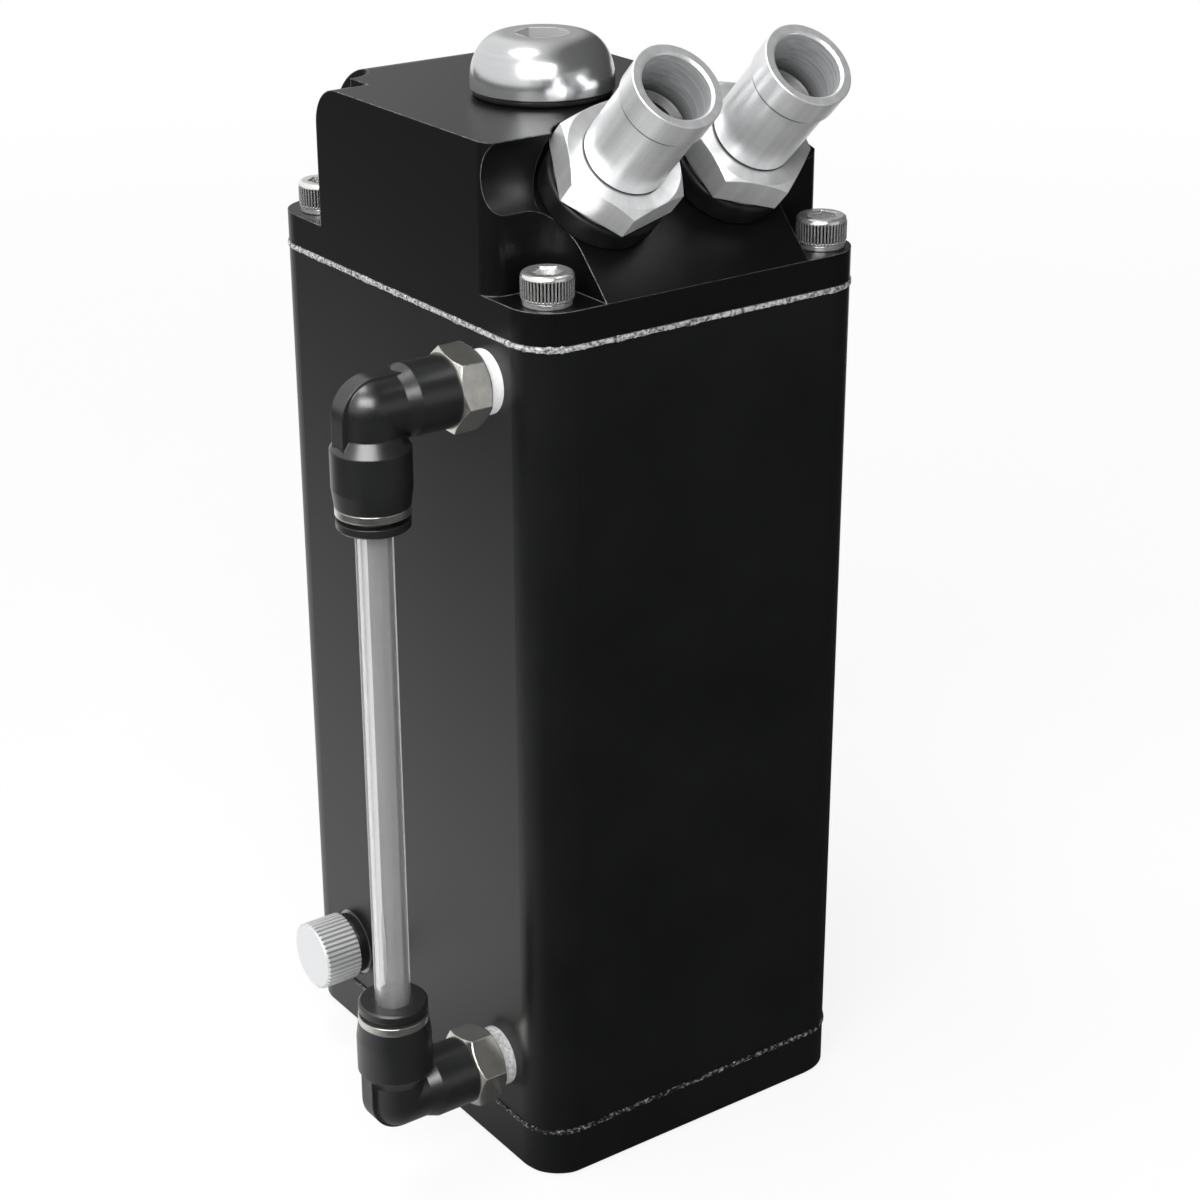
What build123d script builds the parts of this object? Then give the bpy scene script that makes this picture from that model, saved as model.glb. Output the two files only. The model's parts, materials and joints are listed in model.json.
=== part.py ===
from build123d import *
import os
from math import cos, radians, sin, sqrt, tan

os.makedirs("parts", exist_ok=True)

# Oil catch can, in millimetres. +Z is up and the origin is the middle of the underside.
# The hose fittings point to the front, -Y. The sight gauge and the drain are on the left, -X.

# Tank
body_width = 65.0
body_depth = 80.0
body_height = 139.75
corner_radius = 7.3
wall = 3.0
base_thickness = 8.8
base_chamfer = 0.8
gasket_thickness = 0.75
gasket_proud = 0.2
ring_round_share = 0.4

# Lid
flange_thickness = 5.35
block_height = 23.7
slope_angle = 45.0
lip_setback = 12.8
scoop_radius = 8.7
rear_radius = 13.0
shoulder_x = 20.0
shoulder_drop = 10.8
notch_x = 19.7
front_notch_setback = 12.5
rear_notch_setback = 16.5
notch_radius = 6.0
notch_edge_radius = 3.0
wing_radius = 6.5
lid_roof = 6.6
pocket_side_wall = 5.5
pocket_front_wall = 21.5
pocket_rear_wall = 21.0
pocket_radius = 6.0

# Lid and base screws, M5 socket heads
screw_inset_x = 5.7
screw_front_inset = 5.5
screw_rear_inset = 7.8
screw_radius = 2.5
screw_clearance = 0.25
thread_clearance = 0.05
screw_head_radius = 4.15
screw_head_height = 4.3
screw_head_round = 0.5
screw_socket = 4.0
screw_socket_depth = 2.6
lid_screw_length = 20.0
base_screw_length = 16.0
boss_radius = 5.0
head_clearance = 0.35
head_sink = 0.2
washer_radius = 3.9
washer_thickness = 0.9
washer_gap = 0.9

# Hose fittings
fitting_x = 12.3
seat_up_slope = 18.4
fitting_turns = {"inlet": 13.4, "outlet": 39.0}
port_thread_radius = 6.5
spigot_length = 11.0
spot_face_clearance = 0.4
seal_thickness = 4.4
seal_radius = 10.2
seal_round = 0.7
seal_clearance = 0.2
fitting_flange_radius = 9.2
fitting_flange_thickness = 0.6
fitting_hex = 18.8
fitting_hex_length = 5.3
hex_chamfer_angle = 30.0
barrel_radius = 6.85
neck_groove_depth = 0.3
neck_groove_width = 0.4
barrel_length = 18.45
bead_radius = 7.3
bead_length = 4.65
bead_ramp = 0.35
mouth_taper = 0.15
mouth_chamfer = 0.4
bore_radius = 5.6
bore_depth = 9.0
throat_radius = 4.6

# Filler plug
filler_x = -6.4
filler_y = -4.0
filler_thread_radius = 8.0
filler_stem_length = 11.0
filler_radius = 11.65
filler_rim = 1.3
filler_height = 8.5
filler_flat_radius = 6.2
filler_socket = 7.5
filler_socket_depth = 5.0
filler_socket_turn = 25.0
filler_seal_thickness = 1.2
filler_seal_inset = 0.4

# Sight gauge, with push-in elbows for a 6 mm tube
gauge_y = -25.6
gauge_low_z = 19.2
gauge_top_drop = 7.5
gauge_reach = 20.8
stem_thread_radius = 4.8
stem_thread_length = 5.0
stem_bore_radius = 2.2
stem_spigot_radius = 4.2
stem_spigot_length = 6.5
tape_width = 2.5
tape_thickness = 0.35
stem_hex = 12.0
stem_hex_length = 5.2
stem_hex_chamfer = 0.6
stem_turns = {"upper": 17.0, "lower": 40.0}
side_barrel_radius = 5.8
side_barrel_length = 6.95
tube_barrel_radius = 6.3
tube_barrel_start = 6.2
tube_barrel_end = 15.4
barrel_mouth_taper = 0.4
barrel_mouth_taper_length = 3.0
bend_radius = 5.0
shoulder_length = 2.2
spine_width = 3.4
spine_corner_radius = 6.0
spine_side_reach = 5.7
spine_end_reach = 5.1
socket_clearance = 0.05
tube_radius = 3.0
tube_bore_radius = 2.0
tube_stop = 5.4
tube_seal_start = 8.6
tube_seal_thickness = 1.9
grab_ring_thickness = 0.5
collar_chamber_radius = 4.9
collar_travel_room = 0.9
collar_sleeve_radius = 4.35
collar_clearance = 0.1
collar_flange_radius = 5.8
collar_flange_thickness = 1.5
collar_edge = 0.3
collar_lead_in = 0.15
ring_thickness = 1.3
ring_radius = 5.9

# Drain screw
drain_y = 23.6
drain_z = 17.7
drain_thread_radius = 4.0
drain_stem_reach = 3.0
drain_knob_radius = 6.3
drain_knob_length = 7.1
drain_knob_chamfer = 0.25
drain_seal_thickness = 2.2
drain_seal_radius = 5.7
drain_spot_radius = 6.3
drain_spot_depth = 0.3

# Bracket holes in the rear wall, M6
bracket_inset = 17.5
bracket_drop = 31.3
bracket_hole_radius = 2.5
bracket_hole_depth = 9.0
bracket_boss_radius = 6.0
bracket_boss_length = 8.0

# Levels and places that follow from the sizes above
half_width = body_width / 2
half_depth = body_depth / 2
body_bottom = base_thickness + gasket_thickness
body_top = body_bottom + body_height
lid_bottom = body_top + gasket_thickness
flange_top = lid_bottom + flange_thickness
lid_top = flange_top + block_height
screw_x = half_width - screw_inset_x
screw_front_y = -half_depth + screw_front_inset
screw_rear_y = half_depth - screw_rear_inset
screw_places = [(side * screw_x, y) for side in (-1, 1) for y in (screw_front_y, screw_rear_y)]
screw_places_below = [(x, -y) for x, y in screw_places]
head_room = screw_head_height + head_sink
gauge_high_z = body_top - gauge_top_drop
bracket_z = body_top - bracket_drop
bracket_spacing = body_width - 2 * bracket_inset
tube_x = -half_width - gauge_reach
hex_start = seal_thickness + fitting_flange_thickness
hex_end = hex_start + fitting_hex_length
mouth_end = hex_end + barrel_length
neck_radius = barrel_radius - neck_groove_depth
neck_groove_end = hex_end + neck_groove_width
hex_corner_radius = fitting_hex / sqrt(3)
spot_face_radius = max(hex_corner_radius, fitting_flange_radius) + spot_face_clearance
slope_run = cos(radians(slope_angle))
slope_rise = sin(radians(slope_angle))


def turned(plane, points):
    """Half section of a turned piece: X is the radius, and Y runs along the plane's normal."""
    section_plane = Plane(plane.origin, x_dir=plane.x_dir, z_dir=plane.x_dir.cross(plane.z_dir))
    with BuildSketch(section_plane) as section:
        with BuildLine():
            Polyline(*points, close=True)
        make_face()
    return section.sketch


def ring_section(plane, inner, outer, start, thickness, rounding):
    """Half section of a rubber ring with rounded edges."""
    section_plane = Plane(plane.origin, x_dir=plane.x_dir, z_dir=plane.x_dir.cross(plane.z_dir))
    with BuildSketch(section_plane) as section:
        with Locations(((inner + outer) / 2, start + thickness / 2)):
            RectangleRounded(outer - inner, thickness, rounding)
    return section.sketch


def spin_axis(plane):
    """Axis that a turned piece is spun about."""
    return Axis(plane.origin, plane.z_dir)


# Tank body: an extruded tube with a screw channel in each corner
left_wall = Plane((-half_width, 0, 0), x_dir=(0, -1, 0), z_dir=(-1, 0, 0))
rear_wall = Plane((0, half_depth, 0), x_dir=(-1, 0, 0), z_dir=(0, 1, 0))
with BuildPart() as can_body:
    with BuildSketch(Plane.XY.offset(body_bottom)):
        RectangleRounded(body_width, body_depth, corner_radius)
    extrude(amount=body_height)
    with BuildSketch(Plane.XY.offset(body_bottom)):
        RectangleRounded(body_width - 2 * wall, body_depth - 2 * wall, corner_radius - wall)
        with Locations(*screw_places):
            Circle(boss_radius, mode=Mode.SUBTRACT)
    extrude(amount=body_height, mode=Mode.SUBTRACT)
    with BuildSketch(Plane.XY.offset(body_bottom)):
        with Locations(*screw_places):
            Circle(screw_radius + thread_clearance)
    extrude(amount=body_height, mode=Mode.SUBTRACT)
    with BuildSketch(rear_wall.offset(-wall)):
        with Locations((0, bracket_z)):
            with GridLocations(bracket_spacing, 0, 2, 1):
                Circle(bracket_boss_radius)
    extrude(amount=-bracket_boss_length)
    with BuildSketch(rear_wall):
        with Locations((0, bracket_z)):
            with GridLocations(bracket_spacing, 0, 2, 1):
                Circle(bracket_hole_radius)
    extrude(amount=-bracket_hole_depth, mode=Mode.SUBTRACT)
    with BuildSketch(left_wall):
        with Locations((-gauge_y, gauge_low_z), (-gauge_y, gauge_high_z)):
            Circle(stem_thread_radius + thread_clearance)
    extrude(amount=-stem_thread_length, mode=Mode.SUBTRACT)
    with BuildSketch(left_wall):
        with Locations((-drain_y, drain_z)):
            Circle(drain_thread_radius + thread_clearance)
    extrude(amount=-(wall + drain_stem_reach), mode=Mode.SUBTRACT)
    with BuildSketch(left_wall):
        with Locations((-drain_y, drain_z)):
            Circle(drain_spot_radius)
    extrude(amount=-drain_spot_depth, mode=Mode.SUBTRACT)
can_body.part.label = "can_body"
export_step(can_body.part, "parts/can_body.step")

# Base plate, screwed on from below
with BuildPart() as base_plate:
    with BuildSketch():
        RectangleRounded(body_width, body_depth, corner_radius)
    extrude(amount=base_thickness)
    underside = base_plate.faces().sort_by(Axis.Z)[0]
    chamfer(underside.edges(), base_chamfer)
    with Locations(Plane((0, 0, 0), x_dir=(1, 0, 0), z_dir=(0, 0, -1))):
        with Locations(*screw_places_below):
            CounterBoreHole(screw_radius + screw_clearance, screw_head_radius + head_clearance, head_room)
base_plate.part.label = "base_plate"
export_step(base_plate.part, "parts/base_plate.step")

# Gaskets between the tank and its two ends, squeezed out a little past the walls
for name, level in (("base_gasket", base_thickness), ("lid_gasket", body_top)):
    with BuildPart() as gasket:
        with BuildSketch(Plane.XY.offset(level)):
            gasket_corner = corner_radius + gasket_proud
            RectangleRounded(body_width + 2 * gasket_proud, body_depth + 2 * gasket_proud, gasket_corner)
            RectangleRounded(
                body_width - 2 * wall, body_depth - 2 * wall, corner_radius - wall, mode=Mode.SUBTRACT
            )
            with Locations(*screw_places):
                Circle(boss_radius)
                Circle(screw_radius + screw_clearance, mode=Mode.SUBTRACT)
        extrude(amount=gasket_thickness)
    gasket.part.label = name
    export_step(gasket.part, f"parts/{name}.step")

# Lid: a flange with a raised block, sloped at the front for the fittings
slope = Vector(0, slope_run, slope_rise)
slope_normal = Vector(0, -slope_rise, slope_run)
foot = Vector(0, -half_depth, flange_top)
lip = Vector(0, -half_depth + lip_setback, lid_top)
to_lip = lip - foot - slope_normal * scoop_radius
along_slope = to_lip.dot(slope)
scoop_run = along_slope - sqrt(along_slope**2 - to_lip.dot(to_lip) + scoop_radius**2)
scoop_start = foot + slope * scoop_run
scoop_centre = scoop_start + slope_normal * scoop_radius
scoop_middle = scoop_centre + (scoop_start + lip - scoop_centre * 2).normalized() * scoop_radius
front_notch_y = -half_depth + front_notch_setback
rear_notch_y = half_depth - rear_notch_setback
seat_centre = foot + slope * seat_up_slope
seats = {}
for name, side in (("inlet", -1), ("outlet", 1)):
    seats[name] = Plane(seat_centre + Vector(side * fitting_x, 0, 0), x_dir=(1, 0, 0), z_dir=slope_normal)
with BuildPart() as lid:
    with BuildSketch(Plane.XY.offset(lid_bottom)):
        RectangleRounded(body_width, body_depth, corner_radius)
    extrude(amount=flange_thickness)
    with BuildSketch(Plane.YZ.offset(-half_width)):
        with BuildLine():
            Line((foot.Y, foot.Z), (scoop_start.Y, scoop_start.Z))
            ThreePointArc(
                (scoop_start.Y, scoop_start.Z), (scoop_middle.Y, scoop_middle.Z), (lip.Y, lip.Z)
            )
            Line((lip.Y, lip.Z), (half_depth - rear_radius, lid_top))
            rear_arc = CenterArc((half_depth - rear_radius, lid_top - rear_radius), rear_radius, 0, 90)
            Polyline(rear_arc @ 0, (half_depth, flange_top), (foot.Y, foot.Z))
        make_face()
    extrude(amount=body_width)
    # The right shoulder falls away below the top face
    with BuildSketch(Plane.XZ):
        with BuildLine():
            Polyline(
                (shoulder_x, lid_top),
                (half_width, lid_top - shoulder_drop),
                (half_width, lid_top),
                close=True,
            )
        make_face()
    extrude(amount=half_depth, both=True, mode=Mode.SUBTRACT)
    # A notch at each corner gives room for the screw heads
    with BuildSketch(Plane.XY.offset(flange_top)) as notches:
        notch_width = half_width - notch_x
        for side in (-1, 1):
            with Locations((side * (notch_x + notch_width / 2), -half_depth + front_notch_setback / 2)):
                Rectangle(notch_width, front_notch_setback)
            with Locations((side * (notch_x + notch_width / 2), half_depth - rear_notch_setback / 2)):
                Rectangle(notch_width, rear_notch_setback)
        inner_corners = [
            corner
            for corner in notches.vertices()
            if abs(corner.X) < half_width - notch_width / 2 and abs(corner.Y) < half_depth - wall
        ]
        fillet(inner_corners, notch_radius)
    extrude(amount=block_height, mode=Mode.SUBTRACT)
    # The rear ends of the two wings are rounded over
    wing_reach = half_width - notch_x - notch_radius
    for side in (-1, 1):
        with BuildSketch(Plane.YZ.offset(side * half_width)):
            with BuildLine():
                wing_arc = CenterArc((rear_notch_y - wing_radius, lid_top - wing_radius), wing_radius, 0, 90)
                Polyline(wing_arc @ 1, (rear_notch_y, lid_top), wing_arc @ 0)
            make_face()
        extrude(amount=-side * wing_reach, mode=Mode.SUBTRACT)
    wing_edges = [
        edge
        for edge in lid.edges().filter_by(Axis.Z)
        if abs(abs(edge.center().X) - half_width) < wall and abs(edge.center().Y - front_notch_y) < wall
    ]
    fillet(wing_edges, notch_edge_radius)
    for seat in seats.values():
        with BuildSketch(seat):
            Circle(spot_face_radius)
        extrude(amount=hex_end + spot_face_radius, mode=Mode.SUBTRACT)
    # Hollow underside, ports, filler hole and screw holes
    pocket_depth_y = body_depth - pocket_front_wall - pocket_rear_wall
    with BuildSketch(Plane.XY.offset(lid_bottom)):
        with Locations((0, (pocket_front_wall - pocket_rear_wall) / 2)):
            RectangleRounded(body_width - 2 * pocket_side_wall, pocket_depth_y, pocket_radius)
    extrude(amount=flange_thickness + block_height - lid_roof, mode=Mode.SUBTRACT)
    for seat in seats.values():
        with BuildSketch(seat):
            Circle(port_thread_radius + thread_clearance)
        extrude(amount=-(spigot_length + port_thread_radius), mode=Mode.SUBTRACT)
    with BuildSketch(Plane.XY.offset(lid_top)):
        with Locations((filler_x, filler_y)):
            Circle(filler_thread_radius + thread_clearance)
    extrude(amount=-lid_roof, mode=Mode.SUBTRACT)
    with BuildSketch(Plane.XY.offset(lid_bottom)):
        with Locations(*screw_places):
            Circle(screw_radius + screw_clearance)
    extrude(amount=flange_thickness, mode=Mode.SUBTRACT)
lid.part.label = "lid"
export_step(lid.part, "parts/lid.step")

# Socket-head screws: the head's seat, the way it faces and the shank's length
lid_heads = Plane.XY.offset(flange_top + washer_thickness)
base_heads = Plane((0, 0, head_room), x_dir=(1, 0, 0), z_dir=(0, 0, -1))
screw_sets = (
    ("lid_screws", lid_heads, screw_places, lid_screw_length),
    ("base_screws", base_heads, screw_places_below, base_screw_length),
)
for name, under_head, places, shank in screw_sets:
    with BuildPart() as screws:
        with BuildSketch(under_head):
            with Locations(*places):
                Circle(screw_head_radius)
        extrude(amount=screw_head_height)
        head_tops = screws.faces().group_by(Axis(under_head.origin, under_head.z_dir))[-1]
        fillet(head_tops.edges(), screw_head_round)
        with BuildSketch(under_head.offset(screw_head_height)):
            with Locations(*places):
                RegularPolygon(screw_socket / 2, 6, major_radius=False)
        extrude(amount=-screw_socket_depth, mode=Mode.SUBTRACT)
        with BuildSketch(under_head):
            with Locations(*places):
                Circle(screw_radius)
        extrude(amount=-shank)
    screws.part.label = name
    export_step(screws.part, f"parts/{name}.step")

# Split spring washers under the lid screws
with BuildPart() as lid_washers:
    with BuildSketch(Plane.XY.offset(flange_top)):
        with Locations(*screw_places):
            Circle(washer_radius)
            Circle(screw_radius + screw_clearance, mode=Mode.SUBTRACT)
        with Locations(*screw_places):
            with Locations((washer_radius / 2, 0)):
                Rectangle(washer_radius, washer_gap, mode=Mode.SUBTRACT)
    extrude(amount=washer_thickness)
lid_washers.part.label = "lid_washers"
export_step(lid_washers.part, "parts/lid_washers.step")

# Hose fittings: turned from hexagon bar, with a bead for the hose
for name, seat in seats.items():
    with BuildPart() as fitting:
        bead_start = mouth_end - bead_length
        outer_points = [
            (0, -spigot_length),
            (port_thread_radius, -spigot_length),
            (port_thread_radius, seal_thickness),
            (fitting_flange_radius, seal_thickness),
            (fitting_flange_radius, hex_start),
            (neck_radius, hex_start),
            (neck_radius, neck_groove_end),
            (barrel_radius, neck_groove_end),
            (barrel_radius, bead_start - bead_ramp),
            (bead_radius, bead_start),
            (bead_radius, mouth_end - mouth_taper),
            (bead_radius - mouth_taper, mouth_end),
            (0, mouth_end),
        ]
        revolve(turned(seat, outer_points), axis=spin_axis(seat))
        with BuildSketch(seat.offset(hex_start)):
            RegularPolygon(fitting_hex / 2, 6, major_radius=False, rotation=fitting_turns[name])
        extrude(amount=fitting_hex_length)
        chamfer_drop = (hex_corner_radius - fitting_hex / 2) * tan(radians(hex_chamfer_angle))
        chamfer_points = [
            (fitting_hex / 2, hex_end),
            (hex_corner_radius, hex_end),
            (hex_corner_radius, hex_end - chamfer_drop),
        ]
        revolve(turned(seat, chamfer_points), axis=spin_axis(seat), mode=Mode.SUBTRACT)
        bore_points = [
            (0, -spigot_length),
            (throat_radius, -spigot_length),
            (throat_radius, mouth_end - bore_depth - (bore_radius - throat_radius)),
            (bore_radius, mouth_end - bore_depth),
            (bore_radius, mouth_end - mouth_chamfer),
            (bore_radius + mouth_chamfer, mouth_end),
            (0, mouth_end),
        ]
        revolve(turned(seat, bore_points), axis=spin_axis(seat), mode=Mode.SUBTRACT)
    fitting.part.label = f"{name}_fitting"
    export_step(fitting.part, f"parts/{name}_fitting.step")
    with BuildPart() as seal:
        seal_inner = port_thread_radius + seal_clearance
        revolve(
            ring_section(seat, seal_inner, seal_radius, 0, seal_thickness, seal_round), axis=spin_axis(seat)
        )
    seal.part.label = f"{name}_seal"
    export_step(seal.part, f"parts/{name}_seal.step")

# Filler plug: a domed button head on a threaded stem, with its seal
filler_seat = Plane((filler_x, filler_y, lid_top), x_dir=(1, 0, 0), z_dir=(0, 0, 1))
plug_under = filler_seat.offset(filler_seal_thickness)
with BuildPart() as filler_plug:
    with BuildSketch(Plane(plug_under.origin, x_dir=(1, 0, 0), z_dir=(0, -1, 0))):
        with BuildLine():
            Polyline((0, 0), (filler_radius, 0), (filler_radius, filler_rim))
            Spline(
                (filler_radius, filler_rim),
                (filler_flat_radius, filler_height),
                tangents=((0, 1), (-1, 0)),
                tangent_scalars=(1.25, 1.05),
            )
            Polyline((filler_flat_radius, filler_height), (0, filler_height), (0, 0))
        make_face()
    revolve(axis=spin_axis(plug_under))
    with BuildSketch(plug_under.offset(filler_height)):
        RegularPolygon(filler_socket / 2, 6, major_radius=False, rotation=filler_socket_turn)
    extrude(amount=-filler_socket_depth, mode=Mode.SUBTRACT)
    with BuildSketch(plug_under):
        Circle(filler_thread_radius)
    extrude(amount=-filler_stem_length)
filler_plug.part.label = "filler_plug"
export_step(filler_plug.part, "parts/filler_plug.step")
with BuildPart() as filler_seal:
    filler_seal_inner = filler_thread_radius + thread_clearance
    filler_seal_outer = filler_radius - filler_seal_inset
    filler_seal_round = filler_seal_thickness * ring_round_share
    revolve(
        ring_section(
            filler_seat, filler_seal_inner, filler_seal_outer, 0, filler_seal_thickness, filler_seal_round
        ),
        axis=spin_axis(filler_seat),
    )
filler_seal.part.label = "filler_seal"
export_step(filler_seal.part, "parts/filler_seal.step")

# Sight gauge ends: the upper elbow looks down the tube and the lower one looks up
hex_face = tape_width + stem_hex_length
side_shoulder = hex_face + side_barrel_length
grab_ring_start = tube_seal_start + tube_seal_thickness
collar_stop = grab_ring_start + grab_ring_thickness
collar_start = collar_stop + collar_travel_room
ring_end = tube_barrel_end + ring_thickness
collar_flange_start = ring_end + collar_travel_room
collar_end = collar_flange_start + collar_flange_thickness
for end, axis_z, way in (("upper", gauge_high_z, -1), ("lower", gauge_low_z, 1)):
    port = Plane((-half_width, gauge_y, axis_z), x_dir=(0, 0, 1), z_dir=(-1, 0, 0))
    mouth = Plane((tube_x, gauge_y, axis_z), x_dir=(1, 0, 0), z_dir=(0, 0, way))

    # Plated brass stem, screwed into the tank
    with BuildPart() as stem:
        stem_points = [
            (0, -stem_thread_length),
            (stem_thread_radius, -stem_thread_length),
            (stem_thread_radius, hex_face),
            (stem_spigot_radius, hex_face),
            (stem_spigot_radius, hex_face + stem_spigot_length),
            (0, hex_face + stem_spigot_length),
        ]
        revolve(turned(port, stem_points), axis=spin_axis(port))
        with BuildSketch(port.offset(tape_width)):
            RegularPolygon(stem_hex / 2, 6, major_radius=False, rotation=stem_turns[end])
        extrude(amount=stem_hex_length)
        stem_corner = stem_hex / sqrt(3)
        for near, far in ((hex_face, hex_face - stem_hex_chamfer), (tape_width, tape_width + stem_hex_chamfer)):
            corner_points = [(stem_hex / 2, near), (stem_corner, near), (stem_corner, far)]
            revolve(turned(port, corner_points), axis=spin_axis(port), mode=Mode.SUBTRACT)
        with BuildSketch(port.offset(-stem_thread_length)):
            Circle(stem_bore_radius)
        extrude(amount=stem_thread_length + hex_face + stem_spigot_length, mode=Mode.SUBTRACT)
    stem.part.label = f"{end}_stem"
    export_step(stem.part, f"parts/{end}_stem.step")

    # Thread tape showing between the wall and the hexagon
    with BuildPart() as tape:
        with BuildSketch(port):
            Circle(stem_thread_radius + thread_clearance + tape_thickness)
            Circle(stem_thread_radius + thread_clearance, mode=Mode.SUBTRACT)
        extrude(amount=tape_width)
    tape.part.label = f"{end}_tape"
    export_step(tape.part, f"parts/{end}_tape.step")

    # Moulded elbow: two barrels, a ball-shaped bend and a spine round the outside
    with BuildPart() as elbow:
        side_points = [
            (0, hex_face),
            (side_barrel_radius, hex_face),
            (side_barrel_radius, side_shoulder),
            (bend_radius, side_shoulder + shoulder_length),
            (bend_radius, gauge_reach),
            (0, gauge_reach),
        ]
        revolve(turned(port, side_points), axis=spin_axis(port))
        tube_points = [
            (0, 0),
            (bend_radius, 0),
            (bend_radius, tube_barrel_start - shoulder_length),
            (tube_barrel_radius, tube_barrel_start),
            (tube_barrel_radius, tube_barrel_end - barrel_mouth_taper_length),
            (tube_barrel_radius - barrel_mouth_taper, tube_barrel_end),
            (0, tube_barrel_end),
        ]
        revolve(turned(mouth, tube_points), axis=spin_axis(mouth))
        with Locations(mouth.origin):
            Sphere(bend_radius)
        with BuildSketch(Plane(mouth.origin, x_dir=(1, 0, 0), z_dir=(0, -way, 0))):
            with BuildLine():
                spine_arc = CenterArc(
                    (spine_corner_radius - spine_side_reach, spine_corner_radius - spine_end_reach),
                    spine_corner_radius,
                    180,
                    90,
                )
                Polyline(
                    spine_arc @ 1,
                    (gauge_reach - side_shoulder, -spine_end_reach),
                    (gauge_reach - side_shoulder, 0),
                    (0, tube_barrel_start),
                    (-spine_side_reach, tube_barrel_start),
                    spine_arc @ 0,
                )
            make_face()
        extrude(amount=spine_width / 2, both=True)
        stem_socket_points = [
            (0, hex_face),
            (stem_spigot_radius + socket_clearance, hex_face),
            (stem_spigot_radius + socket_clearance, hex_face + stem_spigot_length),
            (stem_bore_radius, hex_face + stem_spigot_length),
            (stem_bore_radius, gauge_reach),
            (0, gauge_reach),
        ]
        revolve(turned(port, stem_socket_points), axis=spin_axis(port), mode=Mode.SUBTRACT)
        tube_socket_points = [
            (0, 0),
            (stem_bore_radius, 0),
            (stem_bore_radius, tube_stop),
            (tube_radius + socket_clearance, tube_stop),
            (tube_radius + socket_clearance, tube_seal_start),
            (collar_chamber_radius, tube_seal_start),
            (collar_chamber_radius, tube_barrel_end),
            (0, tube_barrel_end),
        ]
        revolve(turned(mouth, tube_socket_points), axis=spin_axis(mouth), mode=Mode.SUBTRACT)
    elbow.part.label = f"{end}_elbow"
    export_step(elbow.part, f"parts/{end}_elbow.step")

    # What holds and seals the tube: O-ring, grab ring, metal ring and release collar
    with BuildPart() as tube_seal:
        tube_seal_inner = tube_radius + socket_clearance
        tube_seal_outer = collar_chamber_radius - socket_clearance
        tube_seal_round = (tube_seal_outer - tube_seal_inner) * ring_round_share
        revolve(
            ring_section(
                mouth, tube_seal_inner, tube_seal_outer, tube_seal_start, tube_seal_thickness, tube_seal_round
            ),
            axis=spin_axis(mouth),
        )
    tube_seal.part.label = f"{end}_tube_seal"
    export_step(tube_seal.part, f"parts/{end}_tube_seal.step")
    with BuildPart() as grab_ring:
        with BuildSketch(mouth.offset(grab_ring_start)):
            Circle(collar_chamber_radius - socket_clearance)
            Circle(tube_radius + socket_clearance, mode=Mode.SUBTRACT)
        extrude(amount=grab_ring_thickness)
    grab_ring.part.label = f"{end}_grab_ring"
    export_step(grab_ring.part, f"parts/{end}_grab_ring.step")
    with BuildPart() as metal_ring:
        with BuildSketch(mouth.offset(tube_barrel_end)):
            Circle(ring_radius)
            Circle(collar_sleeve_radius + collar_clearance, mode=Mode.SUBTRACT)
        extrude(amount=ring_thickness)
    metal_ring.part.label = f"{end}_ring"
    export_step(metal_ring.part, f"parts/{end}_ring.step")
    with BuildPart() as collar:
        collar_bore = tube_radius + collar_clearance
        collar_points = [
            (collar_bore, collar_start),
            (collar_sleeve_radius, collar_start),
            (collar_sleeve_radius, collar_flange_start),
            (collar_flange_radius, collar_flange_start),
            (collar_flange_radius, collar_end - collar_edge),
            (collar_flange_radius - collar_edge, collar_end),
            (collar_bore + collar_lead_in, collar_end),
            (collar_bore, collar_end - collar_lead_in),
        ]
        revolve(turned(mouth, collar_points), axis=spin_axis(mouth))
    collar.part.label = f"{end}_collar"
    export_step(collar.part, f"parts/{end}_collar.step")

# Clear tube between the two elbows
with BuildPart() as sight_tube:
    with BuildSketch(Plane((tube_x, gauge_y, gauge_low_z + tube_stop))):
        Circle(tube_radius)
        Circle(tube_bore_radius, mode=Mode.SUBTRACT)
    extrude(amount=gauge_high_z - gauge_low_z - 2 * tube_stop)
sight_tube.part.label = "sight_tube"
export_step(sight_tube.part, "parts/sight_tube.step")

# Drain thumbscrew with its O-ring, in a bare spot face
drain_seat = Plane(
    (-half_width + drain_spot_depth, drain_y, drain_z), x_dir=(0, 0, 1), z_dir=(-1, 0, 0)
)
with BuildPart() as drain_screw:
    stem_reach = wall - drain_spot_depth + drain_stem_reach
    knob_end = drain_seal_thickness + drain_knob_length
    drain_points = [
        (0, -stem_reach),
        (drain_thread_radius, -stem_reach),
        (drain_thread_radius, drain_seal_thickness),
        (drain_knob_radius - drain_knob_chamfer, drain_seal_thickness),
        (drain_knob_radius, drain_seal_thickness + drain_knob_chamfer),
        (drain_knob_radius, knob_end - drain_knob_chamfer),
        (drain_knob_radius - drain_knob_chamfer, knob_end),
        (0, knob_end),
    ]
    revolve(turned(drain_seat, drain_points), axis=spin_axis(drain_seat))
drain_screw.part.label = "drain_screw"
export_step(drain_screw.part, "parts/drain_screw.step")
with BuildPart() as drain_seal:
    drain_seal_inner = drain_thread_radius + thread_clearance
    drain_seal_round = (drain_seal_radius - drain_seal_inner) * ring_round_share
    revolve(
        ring_section(
            drain_seat, drain_seal_inner, drain_seal_radius, 0, drain_seal_thickness, drain_seal_round
        ),
        axis=spin_axis(drain_seat),
    )
drain_seal.part.label = "drain_seal"
export_step(drain_seal.part, "parts/drain_seal.step")
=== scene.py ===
import json
import math

import bmesh
import bpy
from mathutils import Matrix, Vector, noise


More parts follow.
